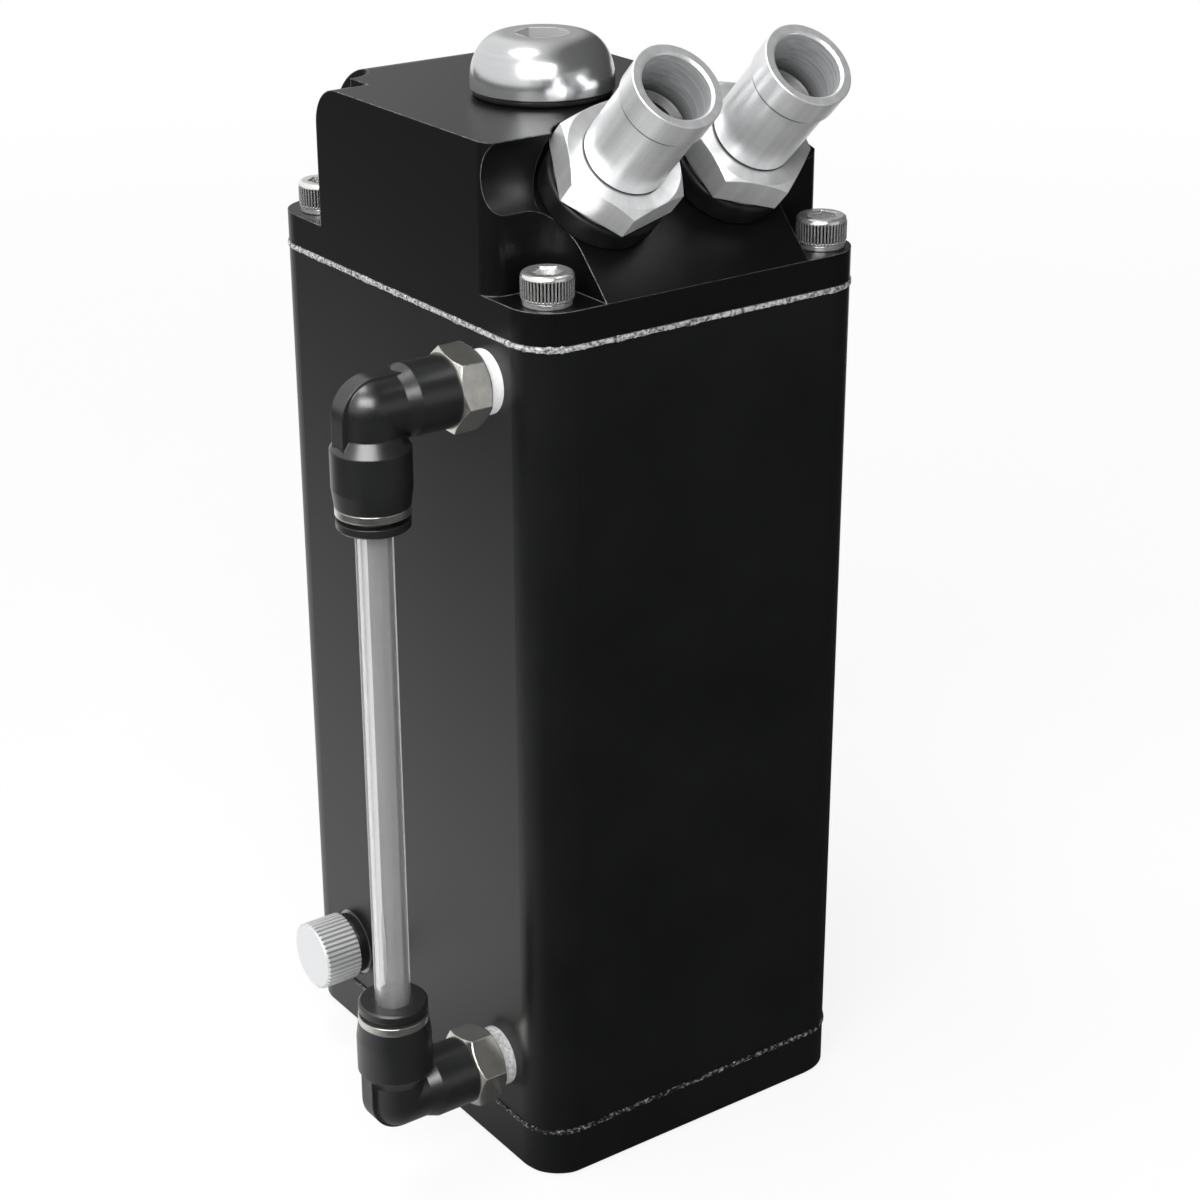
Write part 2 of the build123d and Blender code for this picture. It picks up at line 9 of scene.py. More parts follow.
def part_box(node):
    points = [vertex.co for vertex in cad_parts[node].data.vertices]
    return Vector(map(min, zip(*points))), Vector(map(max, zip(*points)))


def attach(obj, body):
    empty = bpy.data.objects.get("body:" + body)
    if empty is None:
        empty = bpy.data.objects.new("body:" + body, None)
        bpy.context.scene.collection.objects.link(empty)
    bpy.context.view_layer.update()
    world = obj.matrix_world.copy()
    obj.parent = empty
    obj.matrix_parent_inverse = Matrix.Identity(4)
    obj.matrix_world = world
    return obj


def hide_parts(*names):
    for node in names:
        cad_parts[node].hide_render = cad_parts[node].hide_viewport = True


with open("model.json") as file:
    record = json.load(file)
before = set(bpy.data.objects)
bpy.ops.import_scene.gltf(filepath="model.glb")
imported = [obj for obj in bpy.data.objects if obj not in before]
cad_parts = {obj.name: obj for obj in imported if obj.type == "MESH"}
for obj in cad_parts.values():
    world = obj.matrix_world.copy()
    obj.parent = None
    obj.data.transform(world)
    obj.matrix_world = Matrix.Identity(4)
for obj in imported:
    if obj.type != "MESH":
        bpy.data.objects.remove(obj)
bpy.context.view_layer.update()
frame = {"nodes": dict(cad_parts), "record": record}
nodes = frame["nodes"]
scene = bpy.context.scene
scene.view_settings.view_transform = "Standard"
MM = 0.001

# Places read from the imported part
body_low, body_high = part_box("can_body")
lid_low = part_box("lid")[0]
base_gasket_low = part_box("base_gasket")[0]
screw_low, screw_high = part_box("lid_screws")
filler_low, filler_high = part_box("filler_plug")
drain_low, drain_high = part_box("drain_screw")
drain_ring_low, drain_ring_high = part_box("drain_seal")
drain_y = (drain_low[1] + drain_high[1]) / 2
drain_z = (drain_low[2] + drain_high[2]) / 2
spot_centre = (drain_ring_high[0], drain_y, drain_z)
mounts = {m["name"]: m for m in frame["record"]["mounts"]}
port = mounts["inlet_bore"]
port_axis = Vector(port["axis"]).normalized()
port_bore = port["dims"]["r_mm"] * MM

# Sizes that only the looks need
spot_face_radius = 6.35 * MM
spot_face_depth = 0.1 * MM
bore_margin = 0.15 * MM
bore_shade_start = -1.5 * MM
bore_shade_end = -4.5 * MM
plug_socket_radius = 4.4 * MM
body_corner = 7.3 * MM
# From the middle of a hose bore down to the foot of the bead
bead_foot = 0.5 * MM
# Half the width of the painted shade line at the bead's foot
bead_shade_width = 0.17 * MM


# Node graphs


class Graph:
    """A node tree with a short way to add and join nodes."""

    def __init__(self, tree):
        self.tree = tree
        tree.nodes.clear()

    def add(self, kind, inputs=None, **settings):
        node = self.tree.nodes.new(kind)
        for key, value in settings.items():
            setattr(node, key, value)
        for key, value in (inputs or {}).items():
            self.feed(node.inputs[key], value)
        return node

    def feed(self, socket, value):
        """Join a socket to another node's output, or set it to a plain value."""
        if isinstance(value, bpy.types.NodeSocket):
            self.tree.links.new(value, socket)
        else:
            socket.default_value = value

    def math(self, operation, a, b=0.0, clamp=False):
        made = self.add("ShaderNodeMath", {0: a, 1: b}, operation=operation)
        made.use_clamp = clamp
        return made.outputs[0]

    def times(self, a, b):
        return self.math("MULTIPLY", a, b)

    def plus(self, a, b):
        return self.math("ADD", a, b)

    def less(self, a, b):
        """1 where a is under b, otherwise 0."""
        return self.math("LESS_THAN", a, b)

    def length(self, a, b):
        """Length of the vector with two parts a and b."""
        squares = self.plus(self.math("POWER", a, 2.0), self.math("POWER", b, 2.0))
        return self.math("SQRT", squares)

    def vector(self, operation, *values, output="Vector"):
        made = self.add("ShaderNodeVectorMath", dict(enumerate(values)), operation=operation)
        return made.outputs[output]

    def along(self, vector, axis):
        return self.vector("DOT_PRODUCT", vector, axis, output="Value")

    def combine(self, **parts):
        return self.add("ShaderNodeCombineXYZ", parts).outputs[0]

    def noise(self, vector, scale, detail=3.0, roughness=0.55):
        made = self.add(
            "ShaderNodeTexNoise",
            {"Vector": vector, "Scale": scale, "Detail": detail, "Roughness": roughness},
        )
        return made.outputs["Fac"]

    def ramp(self, value, low, high, start=0.0, end=1.0):
        made = self.add(
            "ShaderNodeMapRange",
            {"Value": value, "From Min": low, "From Max": high, "To Min": start, "To Max": end},
        )
        return made.outputs[0]

    def mix(self, factor, a, b):
        made = self.add("ShaderNodeMix", data_type="RGBA")
        for key, value in ((0, factor), (6, a), (7, b)):
            self.feed(made.inputs[key], value)
        return made.outputs[2]

    def place(self):
        return self.add("ShaderNodeTexCoord").outputs["Object"]

    def scaled(self, vector, scale):
        return self.add("ShaderNodeMapping", {"Vector": vector, "Scale": scale}).outputs[0]

    def bump(self, height, strength, distance, normal=None):
        inputs = {"Height": height, "Strength": strength, "Distance": distance}
        if normal is not None:
            inputs["Normal"] = normal
        return self.add("ShaderNodeBump", inputs).outputs[0]

    def rounded(self, radius):
        return self.add("ShaderNodeBevel", {"Radius": radius}, samples=6).outputs[0]

    def edges(self, rounded):
        """About 0 on flat faces, rising where the rounded normal leaves the true one."""
        true = self.add("ShaderNodeNewGeometry").outputs["True Normal"]
        return self.math("SUBTRACT", 1.0, self.along(rounded, true), clamp=True)

    def open_sky(self, distance):
        """1 in the open, falling in corners and grooves about as narrow as the distance."""
        made = self.add("ShaderNodeAmbientOcclusion", {"Distance": distance}, samples=12)
        return made.outputs["AO"]


def grey(value):
    return (value, value, value, 1.0)


def material(name, **values):
    """A material with one Principled shader; values are set on its sockets."""
    made = bpy.data.materials.new(name)
    made.use_nodes = True
    graph = Graph(made.node_tree)
    sockets = {key.replace("_", " "): value for key, value in values.items()}
    shader = graph.add("ShaderNodeBsdfPrincipled", sockets)
    out = graph.add("ShaderNodeOutputMaterial")
    made.node_tree.links.new(shader.outputs[0], out.inputs[0])
    return made, graph, shader


def join(graph, output, shader, socket):
    graph.tree.links.new(output, shader.inputs[socket])


# Materials


def black_coat():
    """Satin black coating, lighter at the edges from wear and a painted highlight, and cut away under the
    drain seal.
    """
    made, g, s = material("black_coat", IOR=1.5)
    place = g.place()
    rounded = g.rounded(0.3 * MM)
    grain = g.noise(place, 5200.0, 2.0)
    cloud = g.noise(place, 60.0, 4.0)
    patches = g.ramp(g.noise(place, 900.0), 0.3, 0.62)
    # Edge wear and painted highlight: lighter along rounded edges, broken up in patches
    edge_wear_and_highlight = g.times(g.ramp(g.edges(rounded), 0.04, 0.22), patches)
    base = g.mix(g.ramp(cloud, 0.3, 0.7), (0.0030, 0.0032, 0.0034, 1), (0.0046, 0.0048, 0.0051, 1))
    worn_and_highlit = g.mix(g.times(edge_wear_and_highlight, 0.55), base, (0.09, 0.09, 0.092, 1))
    # The spot face under the drain seal was cut after coating
    from_spot = g.vector("SUBTRACT", spot_centre, place)
    parts = g.add("ShaderNodeSeparateXYZ", {0: from_spot}).outputs
    on_face = g.less(g.math("ABSOLUTE", parts[0]), spot_face_depth)
    bare = g.times(on_face, g.less(g.length(parts[1], parts[2]), spot_face_radius))
    roughness = g.plus(g.ramp(grain, 0.2, 0.8, 0.31, 0.40), g.ramp(cloud, 0.3, 0.7, -0.01, 0.02))
    join(g, g.mix(bare, worn_and_highlit, grey(0.4)), s, "Base Color")
    join(g, g.times(bare, 0.7), s, "Metallic")
    join(g, roughness, s, "Roughness")
    join(g, g.bump(grain, 0.22, 0.02 * MM, rounded), s, "Normal")
    return made


def lid_coat():
    """Black coating over milled faces, with fine tool lines and edges lightened by wear and a painted
    highlight.
    """
    made, g, s = material("lid_coat", IOR=1.5, Specular_IOR_Level=0.27)
    place = g.place()
    rounded = g.rounded(0.4 * MM)
    grain = g.noise(place, 4200.0, 3.0)
    tool = g.noise(g.scaled(place, (60.0, 2600.0, 2600.0)), 1.0, 2.0)
    # Edge wear and painted highlight: lighter along rounded edges, broken up in patches
    rubbed_and_highlit = g.edges(g.rounded(0.22 * MM))
    edge_wear_and_highlight = g.times(g.ramp(rubbed_and_highlit, 0.04, 0.2), g.ramp(g.noise(place, 700.0), 0.25, 0.6))
    base = g.mix(g.ramp(tool, 0.3, 0.7), (0.0026, 0.0026, 0.0028, 1), (0.0042, 0.0042, 0.0044, 1))
    join(g, g.mix(g.times(edge_wear_and_highlight, 0.9), base, grey(0.4)), s, "Base Color")
    join(g, g.ramp(grain, 0.2, 0.8, 0.29, 0.35), s, "Roughness")
    join(g, g.bump(g.plus(grain, tool), 0.14, 0.02 * MM, rounded), s, "Normal")
    return made


def turned(name, axis, centre, ring, roughness, metallic, tone, corner, bore=0.0, socket=0.0):
    """Turned aluminium with fine rings round its axis, painted shade in its corners, and marks in a bore
    or socket; a bore also brings painted reflection streaks and a painted shade line at the bead's foot.
    """
    made, g, s = material(name, Metallic=metallic)
    place = g.place()
    moved = g.vector("SUBTRACT", place, tuple(centre))
    height = g.along(moved, tuple(axis))
    lines = g.noise(g.combine(Z=height), ring, 4.0, 0.7)
    smear = g.noise(place, 420.0, 3.0)
    low = tone - 0.05
    high = tone + 0.05
    base = g.mix(g.ramp(lines, 0.3, 0.7), (low, low + 0.01, low + 0.02, 1), (high, high, high + 0.005, 1))
    # Painted shade: darker towards the corner colour in corners and grooves about half a millimetre
    # across
    base = g.mix(g.ramp(g.open_sky(0.5 * MM), 0.55, 0.94), grey(corner), base)
    rough = g.ramp(lines, 0.3, 0.7, roughness - 0.02, roughness + 0.04)
    rough = g.plus(rough, g.ramp(smear, 0.3, 0.7, -0.01, 0.02))
    normal = g.bump(lines, 0.14, 0.02 * MM, g.rounded(0.16 * MM))
    if bore:
        # The two fittings mirror each other in x, so one distance serves both
        across = g.math("SUBTRACT", g.math("ABSOLUTE", g.along(place, (1, 0, 0))), abs(centre[0]))
        level = g.along(moved, (0, axis[2], -axis[1]))
        reach = g.length(across, level)
        inside = g.less(reach, bore)
        outside = g.math("SUBTRACT", 1.0, inside)
        direction = g.combine(X=g.math("DIVIDE", across, reach), Y=g.math("DIVIDE", level, reach))
        # Painted reflection: darker streaks that run along the axis and change round it, outside the bore
        reflection_streak = g.ramp(g.noise(direction, 3.2, 4.0, 0.6), 0.35, 0.65, 0.0, 0.3)
        base = g.mix(g.times(outside, reflection_streak), base, grey(0.5))
        # Painted shade: a thin dark line at the foot of the bead, where the step's corner looks dark
        from_foot = g.math("ABSOLUTE", g.plus(height, bead_foot))
        foot_shade = g.times(outside, g.less(from_foot, bead_shade_width))
        base = g.mix(g.times(foot_shade, 0.75), base, grey(0.12))
        marks = g.noise(g.combine(X=g.times(across, 0.12), Z=height), 2600.0, 4.0, 0.7)
        base = g.mix(g.times(inside, g.ramp(marks, 0.3, 0.7)), base, (0.52, 0.53, 0.54, 1))
        depth = g.ramp(height, bore_shade_start, bore_shade_end)
        base = g.mix(g.times(inside, depth), base, grey(0.12))
        rough = g.plus(rough, g.times(inside, 0.12))
        normal = g.bump(g.times(inside, marks), 0.55, 0.12 * MM, normal)
    if socket:
        away = g.vector("LENGTH", g.vector("MULTIPLY", moved, (1, 1, 0)), output="Value")
        broached = g.less(away, socket)
        join(g, g.ramp(broached, 0.0, 1.0, metallic, 0.3), s, "Metallic")
        base = g.mix(broached, base, grey(0.5))
    join(g, base, s, "Base Color")
    join(g, rough, s, "Roughness")
    join(g, normal, s, "Normal")
    return made


def plated(name, low, high, roughness, speck, metallic, edge, groove_shade=0.0):
    """Bright plated metal, with painted shade in grooves narrower than the given reach."""
    made, g, s = material(name, Metallic=metallic)
    place = g.place()
    spots = g.noise(place, speck, 5.0, 0.65)
    scratch = g.noise(g.scaled(place, (9000.0, 900.0, 300.0)), 1.0, 2.0)
    base = g.mix(g.ramp(spots, 0.3, 0.7), low, high)
    if groove_shade:
        # Painted shade: darker in grooves and corners, as occlusion gives
        base = g.mix(g.ramp(g.open_sky(groove_shade), 0.55, 0.9), grey(0.03), base)
    join(g, base, s, "Base Color")
    join(g, g.ramp(scratch, 0.3, 0.7, roughness - 0.04, roughness + 0.06), s, "Roughness")
    join(g, g.bump(scratch, 0.12, 0.015 * MM, g.rounded(edge)), s, "Normal")
    return made


def rubber():
    """Dull black rubber with a little dust."""
    made, g, s = material("rubber", IOR=1.5, Specular_IOR_Level=0.3)
    place = g.place()
    grain = g.noise(place, 3500.0, 3.0)
    dust = g.ramp(g.noise(place, 260.0, 4.0), 0.4, 0.75)
    base = g.mix(dust, (0.006, 0.006, 0.0062, 1), (0.013, 0.013, 0.0135, 1))
    join(g, base, s, "Base Color")
    join(g, g.ramp(grain, 0.2, 0.8, 0.30, 0.48), s, "Roughness")
    join(g, g.bump(grain, 0.25, 0.03 * MM), s, "Normal")
    return made


def black_plastic():
    """Moulded black plastic with a fine grain."""
    made, g, s = material("black_plastic", IOR=1.5, Specular_IOR_Level=1.0)
    place = g.place()
    grain = g.noise(place, 3800.0, 2.0)
    cloud = g.ramp(g.noise(place, 180.0, 3.0), 0.3, 0.7)
    base = g.mix(cloud, (0.0075, 0.0078, 0.0082, 1), (0.0105, 0.0108, 0.0112, 1))
    join(g, base, s, "Base Color")
    join(g, g.ramp(grain, 0.2, 0.8, 0.29, 0.35), s, "Roughness")
    join(g, g.bump(grain, 0.1, 0.03 * MM, g.rounded(0.3 * MM)), s, "Normal")
    return made


def thread_tape(name, low, high):
    """White sealing tape, wound in turns and a little fluffy."""
    made, g, s = material(name)
    place = g.place()
    turns = g.noise(g.scaled(place, (5200.0, 200.0, 200.0)), 1.0, 2.0)
    fluff = g.noise(place, 1500.0, 4.0)
    join(g, g.mix(g.ramp(fluff, 0.3, 0.7), grey(low), grey(high)), s, "Base Color")
    join(g, g.ramp(turns, 0.2, 0.8, 0.45, 0.7), s, "Roughness")
    join(g, g.bump(g.plus(turns, fluff), 0.5, 0.08 * MM), s, "Normal")
    return made


def clear_tube():
    """Clear drawn tube with long soft streaks."""
    made, g, s = material("clear_tube", IOR=1.42, Transmission_Weight=0.9)
    place = g.place()
    drawn = g.noise(g.scaled(place, (2600.0, 2600.0, 12.0)), 1.0, 2.0)
    streaks = g.noise(g.scaled(place, (620.0, 620.0, 16.0)), 1.0, 3.0)
    join(g, g.mix(g.ramp(streaks, 0.36, 0.6), grey(0.86), grey(0.995)), s, "Base Color")
    join(g, g.ramp(drawn, 0.3, 0.7, 0.02, 0.07), s, "Roughness")
    join(g, g.bump(drawn, 0.08, 0.02 * MM), s, "Normal")
    return made


def bare_seam(name, low, high, dark, bright):
    """Cut metal at a joint: coating where the noise is under low, bare above high."""
    made, g, s = material(name, Metallic=0.4)
    place = g.place()
    chips = g.noise(place, 1500.0, 4.0, 0.65)
    fine = g.noise(place, 5200.0, 3.0)
    join(g, g.mix(g.ramp(chips, low, high), grey(dark), grey(bright)), s, "Base Color")
    join(g, g.ramp(fine, 0.2, 0.8, 0.3, 0.55), s, "Roughness")
    join(g, g.bump(g.plus(chips, fine), 0.7, 0.12 * MM), s, "Normal")
    return made


coat = black_coat()
lid_black = lid_coat()
lid_cut = bare_seam("lid_cut", low=0.36, high=0.58, dark=0.04, bright=0.68)
base_cut = bare_seam("base_cut", low=0.50, high=0.66, dark=0.012, bright=0.36)
black_rubber = rubber()
moulded = black_plastic()
nickel = plated(
    "nickel_plate",
    low=(0.62, 0.61, 0.57, 1),
    high=(0.80, 0.79, 0.74, 1),
    roughness=0.19,
    speck=500.0,
    metallic=0.95,
    edge=0.35 * MM,
)
steel = plated(
    "bright_steel",
    low=(0.80, 0.80, 0.79, 1),
    high=(0.94, 0.94, 0.93, 1),
    roughness=0.19,
    speck=700.0,
    metallic=0.84,
    edge=0.2 * MM,
    groove_shade=0.4 * MM,
)
tapes = {
    "upper": thread_tape("thread_tape", low=0.84, high=0.92),
    "lower": thread_tape("thin_tape", low=0.30, high=0.66),
}
tube = clear_tube()
fitting_shine = turned(
    "turned_fitting",
    axis=port_axis,
    centre=port["pos_m"],
    ring=1500.0,
    roughness=0.31,
    metallic=0.72,
    tone=0.94,
    corner=0.16,
    bore=port_bore + bore_margin,
)
plug_shine = turned(
    "turned_plug",
    axis=(0, 0, 1),
    centre=(filler_low + filler_high) / 2,
    ring=900.0,
    roughness=0.20,
    metallic=0.92,
    tone=0.68,
    corner=0.2,
    socket=plug_socket_radius,
)
knob_shine = turned(
    "turned_knob",
    axis=(1, 0, 0),
    centre=spot_centre,
    ring=2600.0,
    roughness=0.42,
    metallic=0.6,
    tone=0.76,
    corner=0.42,
)

finishes = {
    "can_body": coat,
    "base_plate": coat,
    "lid": lid_black,
    "base_gasket": base_cut,
    "lid_gasket": lid_cut,
    "lid_screws": steel,
    "lid_washers": steel,
    "base_screws": steel,
    "inlet_fitting": fitting_shine,
    "outlet_fitting": fitting_shine,
    "inlet_seal": black_rubber,
    "outlet_seal": black_rubber,
    "filler_plug": plug_shine,
    "filler_seal": black_rubber,
    "drain_screw": knob_shine,
    "drain_seal": black_rubber,
    "sight_tube": tube,
}
for end in ("upper", "lower"):
    finishes[f"{end}_stem"] = nickel
    finishes[f"{end}_ring"] = nickel
    finishes[f"{end}_grab_ring"] = steel
    finishes[f"{end}_tape"] = tapes[end]
    finishes[f"{end}_elbow"] = moulded
    finishes[f"{end}_collar"] = moulded
    finishes[f"{end}_tube_seal"] = black_rubber
for name, finish in finishes.items():
    mesh = nodes[name].data
    mesh.materials.clear()
    mesh.materials.append(finish)


# Mesh helpers


def new_piece(name, bm, finish, body, sharp):
    """Turn a bmesh into a piece that rides on a body, with its edges sharp above an angle in degrees."""
    bmesh.ops.recalc_face_normals(bm, faces=bm.faces)
    limit = math.radians(sharp)
    for face in bm.faces:
        face.smooth = True
    for edge in bm.edges:
        if len(edge.link_faces) == 2 and edge.calc_face_angle() > limit:
            edge.smooth = False
    mesh = bpy.data.meshes.new(name)
    bm.to_mesh(mesh)
    bm.free()
    mesh.materials.append(finish)
    piece = bpy.data.objects.new(name, mesh)
    scene.collection.objects.link(piece)
    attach(piece, body)
    return piece


def lathe(bm, rings, count, spot):
    """Spin rings round an axis. A ring has a height, and a radius or a function that gives it."""
    loops = []
    for height, radius in rings:
        loop = []
        for i in range(count):
            angle = 2 * math.pi * i / count
            r = radius(i, angle) if callable(radius) else radius
            point = Vector((r * math.cos(angle), r * math.sin(angle), height))
            loop.append(bm.verts.new(spot @ point))
        loops.append(loop)
    for lower, upper in zip(loops, loops[1:]):
        for i in range(count):
            j = (i + 1) % count
            bm.faces.new((lower[i], lower[j], upper[j], upper[i]))
    bm.faces.new(list(reversed(loops[0])))
    bm.faces.new(loops[-1])


def hexagon(across):
    """Radius of a hexagon at each angle."""
    sixth = math.pi / 3
    return lambda i, angle: across / 2 / math.cos(angle % sixth - sixth / 2)


def ridged(radius, depth, per_ridge):
    """A radius with one groove for every few steps."""
    shape = [max(0.0, math.cos(2 * math.pi * k / per_ridge)) for k in range(per_ridge)]
    return lambda i, angle: radius - depth * shape[i % per_ridge]


# Lid screws with knurled heads
head_radius = 4.15 * MM
head_height = 4.3 * MM
knurl_depth = 0.3 * MM
knurl_count = 46
knurl_steps = 6
shank_radius = 2.5 * MM
shank_chamfer = 0.4 * MM
rim_radius = 4.05 * MM
key_across = 4.0 * MM
first_turn = 0.4
next_turn = 1.3
under_head = screw_high[2] - head_height
shank_end = screw_low[2] - under_head
screw_xs = (screw_low[0] + head_radius, screw_high[0] - head_radius)
screw_ys = (screw_low[1] + head_radius, screw_high[1] - head_radius)
grip = ridged(head_radius, knurl_depth, knurl_steps)
rings = [
    (shank_end, shank_radius - shank_chamfer),
    (shank_end + shank_chamfer, shank_radius),
    (0.0, shank_radius),
    (0.0, rim_radius - 0.2 * MM),
    (0.1 * MM, rim_radius),
    (0.4 * MM, rim_radius),
    (0.5 * MM, grip),
    (3.4 * MM, grip),
    (3.5 * MM, 4.13 * MM),
    (3.8 * MM, 4.1 * MM),
    (4.1 * MM, 3.93 * MM),
    (head_height, 3.6 * MM),
    (head_height, 2.6 * MM),
    (4.27 * MM, hexagon(key_across + 0.5 * MM)),
    (3.95 * MM, hexagon(key_across + 0.05 * MM)),
    (1.75 * MM, hexagon(key_across)),
    (1.4 * MM, 0.6 * MM),
]
bm = bmesh.new()
for turn, (x, y) in enumerate((x, y) for x in screw_xs for y in screw_ys):
    angle = first_turn + next_turn * turn
    spot = Matrix.Translation((x, y, under_head)) @ Matrix.Rotation(angle, 4, "Z")
    lathe(bm, rings, knurl_count * knurl_steps, spot)
heads = new_piece("lid_screw_set", bm, steel, "tank", 28.0)
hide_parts("lid_screws")

# Drain thumbscrew with a serrated grip
tooth_count = 42
tooth_steps = 8
tooth_depth = 0.4 * MM
thread_radius = 4.0 * MM
thread_root = 3.65 * MM
thread_pitch = 0.5 * MM
thread_turns = 5
stem_chamfer = 0.4 * MM
knob_radius = (drain_high[2] - drain_low[2]) / 2
knob_base = drain_ring_low[0]
knob_length = knob_base - drain_low[0]
stem_depth = drain_high[0] - knob_base
outward = Matrix.Translation((knob_base, drain_y, drain_z)) @ Matrix.Rotation(-math.pi / 2, 4, "Y")
serration = ridged(knob_radius, tooth_depth, tooth_steps)
root = knob_radius - tooth_depth
thread_start = -stem_depth + stem_chamfer
rings = [(-stem_depth, thread_radius - stem_chamfer), (thread_start, thread_radius)]
for k in range(thread_turns):
    crest = thread_start + k * thread_pitch
    rings += [(crest + thread_pitch / 2, thread_root), (crest + thread_pitch, thread_radius)]
rings += [
    (0.0, thread_radius),
    (0.0, root - 0.05 * MM),
    (0.12 * MM, root),
    (0.2 * MM, serration),
    (knob_length - 0.3 * MM, serration),
    (knob_length - 0.2 * MM, root + 0.05 * MM),
    (knob_length - 0.06 * MM, root - 0.02 * MM),
    (knob_length, root - 0.1 * MM),
    (knob_length, 1.0 * MM),
]
bm = bmesh.new()
lathe(bm, rings, tooth_count * tooth_steps, outward)
knob = new_piece("drain_thumbscrew", bm, knob_shine, "drain", 30.0)
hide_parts("drain_screw")


# Rough bare seams where the tank meets its two ends
seam_step = 0.28 * MM
seam_root = -0.25
seam_edge = 0.05
seam_shoulder = 0.22
seam_crest = 0.26
shoulder_share = 0.45
coarse_scale = 420.0
fray_scale = 1900.0
wave_scale = 1100.0
fray_rise = 0.24
wave_reach = 0.07
proud_least = 0.75
proud_spread = 0.5
rise_least = 0.5
rise_spread = 0.85


def outline(half_x, half_y, corner, step):
    """Points and outward normals round a rounded rectangle."""
    runs = []
    centres = ((1, 1, 0), (-1, 1, 90), (-1, -1, 180), (1, -1, 270))
    for sx, sy, start in centres:
        cx = sx * (half_x - corner)
        cy = sy * (half_y - corner)
        arc = max(4, int(corner * math.pi / 2 / step))
        for k in range(arc + 1):
            a = math.radians(start + 90 * k / arc)
            nx = math.cos(a)
            ny = math.sin(a)
            runs.append((cx + corner * nx, cy + corner * ny, nx, ny))
    points = []
    for p, q in zip(runs, runs[1:] + runs[:1]):
        gap = math.hypot(q[0] - p[0], q[1] - p[1])
        parts = max(1, int(gap / step))
        for k in range(parts):
            t = k / parts
            points.append(tuple(p[i] + (q[i] - p[i]) * t for i in range(4)))
    return points


def seam(name, finish, level, low, high, seed):
    """A ragged bead round the tank, with its section in millimetres outward and up from the joint."""
    bm = bmesh.new()
    half_x = (body_high[0] - body_low[0]) / 2
    half_y = (body_high[1] - body_low[1]) / 2
    section = (
        (seam_root, low),
        (seam_edge, low),
        (seam_shoulder, low * shoulder_share),
        (seam_crest, 0.0),
        (seam_shoulder, high * shoulder_share),
        (seam_edge, high),
        (seam_root, high),
    )
    size = len(section)
    loops = []
    for x, y, nx, ny in outline(half_x, half_y, body_corner, seam_step):
        ragged = 0.5 + 0.5 * noise.noise(Vector((x, y, seed)) * coarse_scale)
        fray = fray_rise * noise.noise(Vector((x, y, seed + 3.0)) * fray_scale)
        loop = []
        for k, (out, up) in enumerate(section):
            wave = noise.noise(Vector((x * wave_scale, y * wave_scale, seed + k * 0.7)))
            swell = out * (proud_least + proud_spread * ragged) + wave_reach * wave
            proud = out if out < 0 else swell
            rise = up * (rise_least + rise_spread * ragged) + (fray if up >= 0 else -fray)
            loop.append(bm.verts.new((x + nx * proud * MM, y + ny * proud * MM, level + rise * MM)))
        loops.append(loop)
    for a, b in zip(loops, loops[1:] + loops[:1]):
        for k in range(size):
            m = (k + 1) % size
            bm.faces.new((a[k], b[k], b[m], a[m]))
    new_piece(name, bm, finish, "tank", 60.0)


lid_joint = (body_high[2] + lid_low[2]) / 2
base_joint = (base_gasket_low[2] + body_low[2]) / 2
seam("lid_seam", lid_cut, lid_joint, low=-0.52, high=0.38, seed=1.0)
seam("base_seam", base_cut, base_joint, low=-0.45, high=0.4, seed=9.0)


# Floor, light and camera
floor_half = 6.0


def studio_floor():
    """A pale floor that shows white to the camera far away, and dim in reflections."""
    made = bpy.data.materials.new("studio_floor")
    made.use_nodes = True
    g = Graph(made.node_tree)
    path = g.add("ShaderNodeLightPath").outputs
    place = g.add("ShaderNodeNewGeometry").outputs["Position"]
    paper = g.mix(g.noise(place, 40.0, 3.0), grey(0.86), grey(0.9))
    diffuse = g.add("ShaderNodeBsdfDiffuse", {"Color": paper}).outputs[0]
    white = g.add("ShaderNodeEmission", {"Color": grey(1.0), "Strength": 1.0}).outputs[0]

    def blend(factor, a, b):
        return g.add("ShaderNodeMixShader", {0: factor, 1: a, 2: b}).outputs[0]

    # The floor turns white away from the object, so that no horizon shows
    away = g.vector("LENGTH", place, output="Value")
    seen = blend(g.ramp(away, 0.25, 0.8, 0.84, 1.0), diffuse, white)
    # In reflections the floor is dim in front and fades away to the left
    left = g.ramp(g.along(place, (-1, 0, 0)), 0.08, 0.28, 1.0, 0.06)
    front = g.ramp(g.along(place, (-0.35, 0.94, 0.0)), -0.03, 0.05, 0.05, 0.9)
    glow = g.add("ShaderNodeEmission", {"Color": grey(1.0), "Strength": g.times(left, front)})
    through = g.math("ADD", path["Is Camera Ray"], path["Is Transmission Ray"], clamp=True)
    plain = blend(through, diffuse, seen)
    mixed = blend(path["Is Glossy Ray"], plain, glow.outputs[0])
    out = g.add("ShaderNodeOutputMaterial")
    g.tree.links.new(mixed, out.inputs[0])
    return made


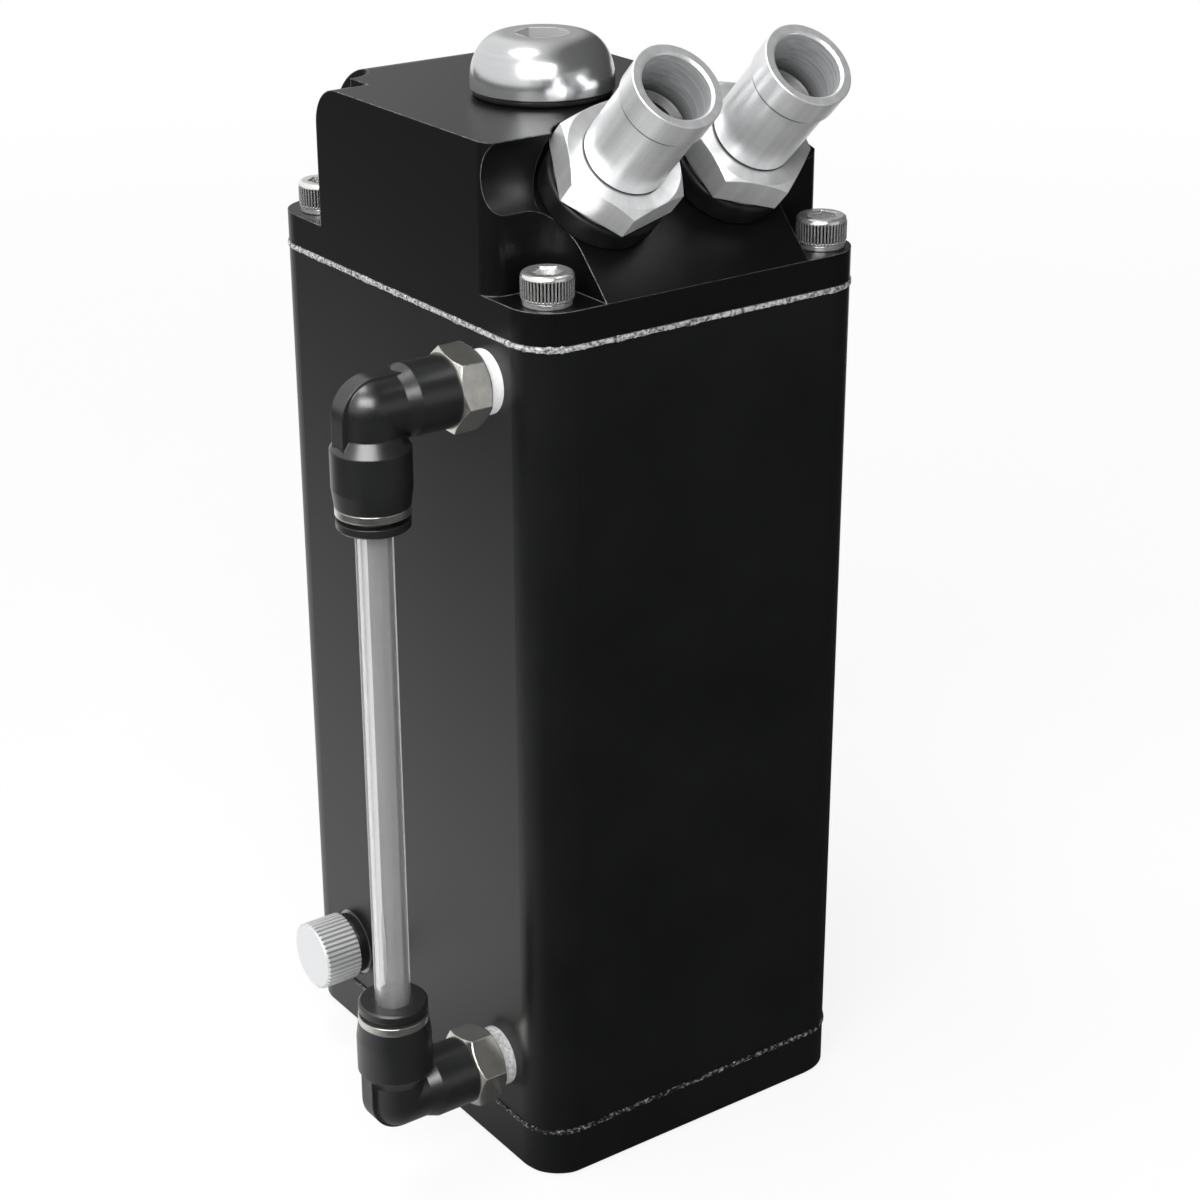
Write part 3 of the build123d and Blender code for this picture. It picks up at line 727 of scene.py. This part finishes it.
bm = bmesh.new()
bmesh.ops.create_grid(bm, x_segments=8, y_segments=8, size=floor_half)
floor_mesh = bpy.data.meshes.new("floor")
bm.to_mesh(floor_mesh)
bm.free()
floor_mesh.materials.append(studio_floor())
floor = bpy.data.objects.new("floor", floor_mesh)
scene.collection.objects.link(floor)

# A white surround for the camera, brighter on the left and behind for everything else
world = bpy.data.worlds.new("studio")
scene.world = world
world.use_nodes = True
g = Graph(world.node_tree)
path = g.add("ShaderNodeLightPath").outputs
way = g.add("ShaderNodeTexCoord").outputs["Generated"]
bright_side = Vector((-0.75, 0.6, 0.25)).normalized()
sky = g.ramp(g.along(way, tuple(bright_side)), -0.1, 0.4, 0.06, 0.85)
direct = g.math("ADD", path["Is Camera Ray"], path["Is Transmission Ray"], clamp=True)
strength = g.plus(g.times(direct, g.math("SUBTRACT", 1.0, sky)), sky)
back = g.add("ShaderNodeBackground", {"Color": grey(1.0), "Strength": strength})
out = g.add("ShaderNodeOutputWorld")
g.tree.links.new(back.outputs[0], out.inputs[0])


def softbox(name, place, width, height, power):
    """A rectangular lamp that faces the middle of the object."""
    data = bpy.data.lights.new(name, "AREA")
    data.shape = "RECTANGLE"
    data.size = width
    data.size_y = height
    data.energy = power
    lamp = bpy.data.objects.new(name, data)
    lamp.location = place
    lamp.rotation_euler = (middle - Vector(place)).to_track_quat("-Z", "Y").to_euler()
    scene.collection.objects.link(lamp)


middle = Vector((0.0, 0.0, 0.09))
softbox("top_box", (-0.30, 0.10, 1.0), width=0.35, height=0.35, power=2.5)
softbox("front_box", (-0.58, -0.59, 0.73), width=0.9, height=0.45, power=10.5)
softbox("fill_box", (0.4, -1.0, 0.3), width=0.9, height=0.6, power=0.6)

# The camera that was fitted to the photograph
aim = Vector((0.5335, 0.7443, -0.4018))
roll = math.radians(0.15)
lens = bpy.data.cameras.new("camera")
lens.sensor_width = 36.0
lens.lens = 77.73
lens.clip_start = 0.01
lens.clip_end = 50.0
camera = bpy.data.objects.new("camera", lens)
camera.location = (-0.23892, -0.34378, 0.27122)
camera.rotation_mode = "QUATERNION"
facing = aim.to_track_quat("-Z", "Y").to_matrix()
camera.rotation_quaternion = (Matrix.Rotation(roll, 3, aim) @ facing).to_quaternion()
scene.collection.objects.link(camera)
scene.camera = camera
